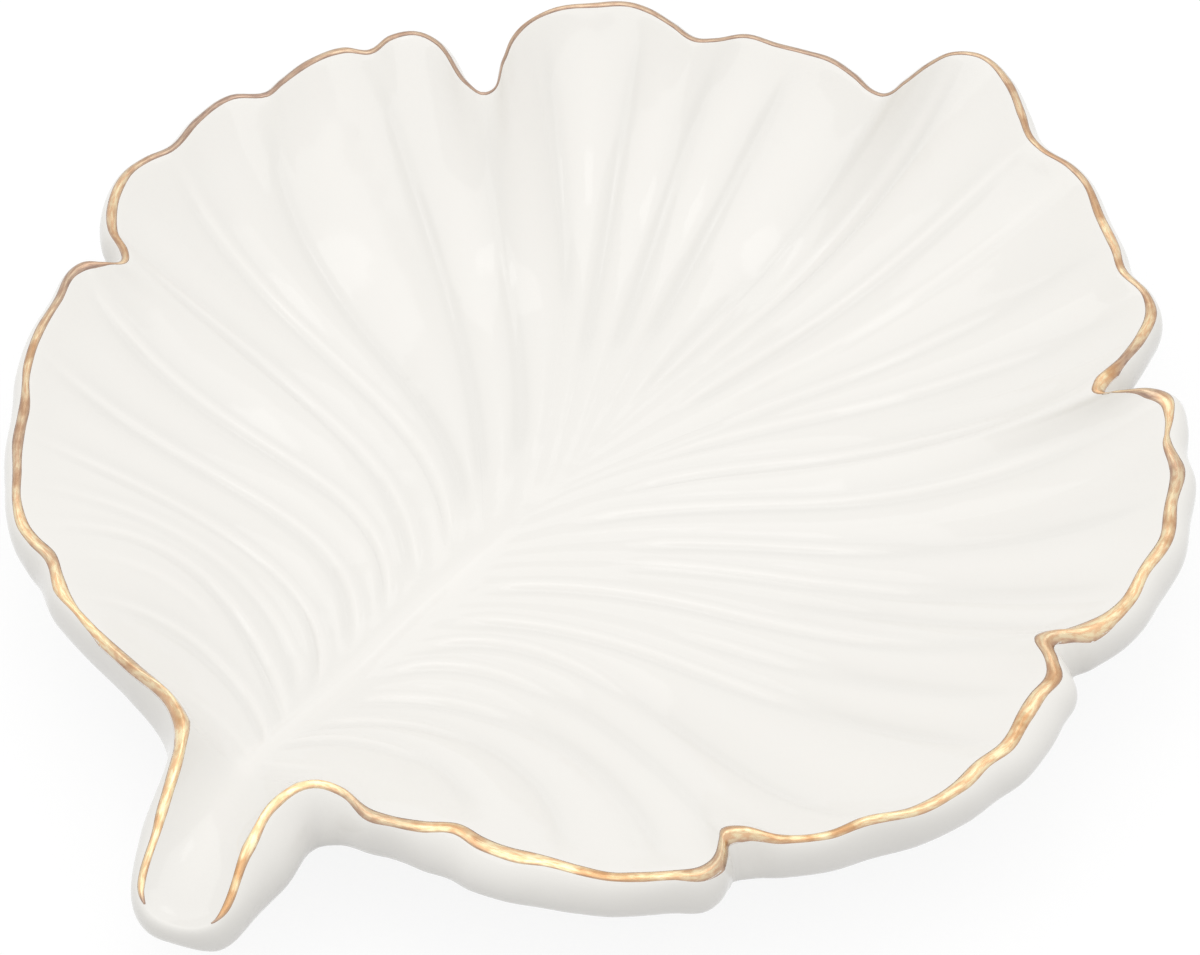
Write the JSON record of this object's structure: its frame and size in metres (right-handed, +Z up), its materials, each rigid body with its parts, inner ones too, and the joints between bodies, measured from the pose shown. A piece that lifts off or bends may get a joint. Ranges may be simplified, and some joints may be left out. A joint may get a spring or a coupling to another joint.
{
  "type": "soap dish",
  "caption": "Shallow leaf-shaped porcelain tray with a veined bowl, a scalloped gilt rim and a short stem handle. It holds a bar of soap or small toiletries.",
  "frame": {"origin": "on the table plane, under the middle of the dish's outline", "axes": "+Z up, +Y from the stem to the leaf's tip, +X to the right"},
  "size_m": [0.1342, 0.1576, 0.0186],
  "materials": {
    "white_glaze": "glossy white glaze over slip-cast porcelain",
    "gilt_lustre": "fired gold lustre, brushed on by hand",
    "bare_clay": "bare fired clay, wiped clean of glaze"
  },
  "bodies": {
    "root": {"dish_body": "white_glaze", "gilt_rim": "gilt_lustre", "foot_ring": "bare_clay"}
  },
  "joints": []
}
